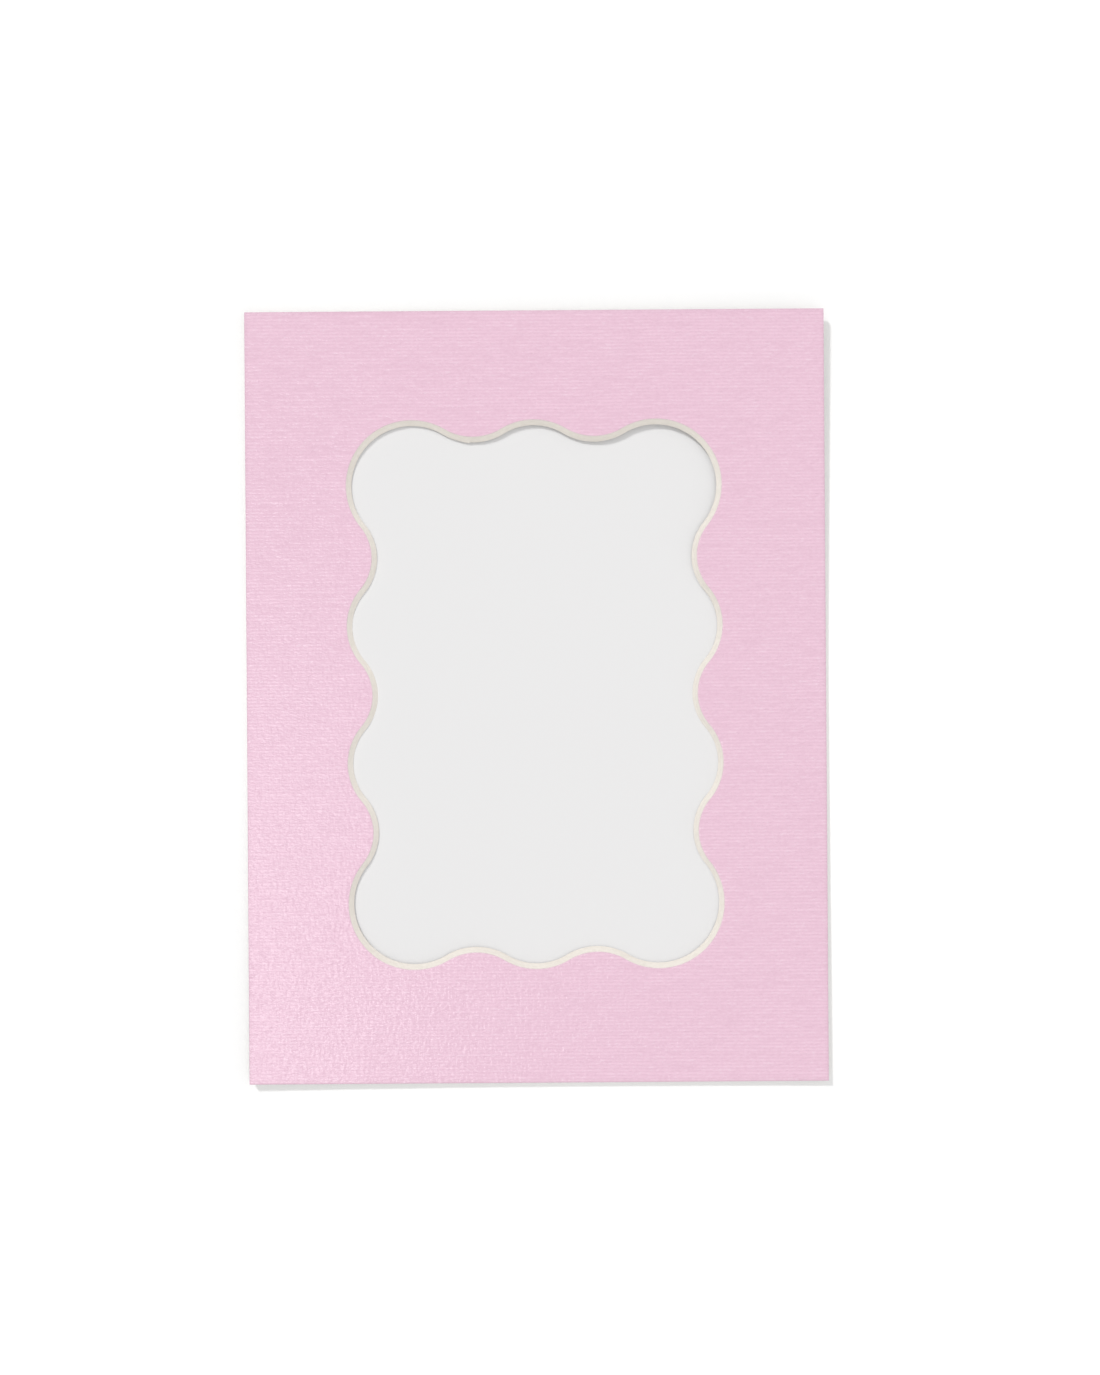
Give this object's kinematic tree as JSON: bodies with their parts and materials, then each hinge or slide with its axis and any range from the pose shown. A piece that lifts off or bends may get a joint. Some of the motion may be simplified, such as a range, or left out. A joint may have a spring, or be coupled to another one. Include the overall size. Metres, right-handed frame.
{
  "type": "picture mount",
  "caption": "Flat rectangular picture mount of faced board, with a scalloped window cut to a sloping bevel that shows the pale core.",
  "frame": {"origin": "middle of the sheet, on the back face that it lies on", "axes": "+X across the sheet to the right as the face is seen, +Y up the sheet along its long side, +Z out of the coloured face"},
  "size_m": [0.18, 0.24, 0.0016],
  "materials": {
    "core": "matte",
    "facing": "satin"
  },
  "bodies": {
    "root": {"core_board": "core", "facing_paper": "facing"}
  },
  "joints": []
}
